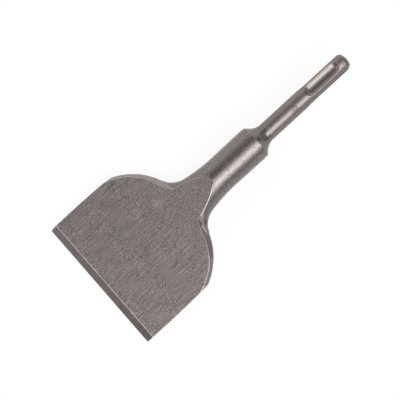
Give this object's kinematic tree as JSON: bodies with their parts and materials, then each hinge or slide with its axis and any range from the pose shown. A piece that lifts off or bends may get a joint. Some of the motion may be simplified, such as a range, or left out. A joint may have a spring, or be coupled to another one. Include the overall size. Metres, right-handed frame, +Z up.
{
  "type": "sds chisel",
  "caption": "Wide flat chisel for a hammer drill, with a two-bevel cutting edge, round body and a slotted quick-change shank.",
  "frame": {"origin": "centre of the bounding box at its lowest level, where the laid-down chisel touches the table", "axes": "+X from the cutting edge towards the shank's end, +Y across the blade, +Z up; the tool's own axis rises by 5.9 degrees along +X"},
  "size_m": [0.1706, 0.0764, 0.0234],
  "materials": {
    "tool_steel": "belt-ground faces with fine streaks along the tool, satin round body and shank"
  },
  "bodies": {
    "root": {"wide_chisel": "tool_steel"}
  },
  "joints": []
}
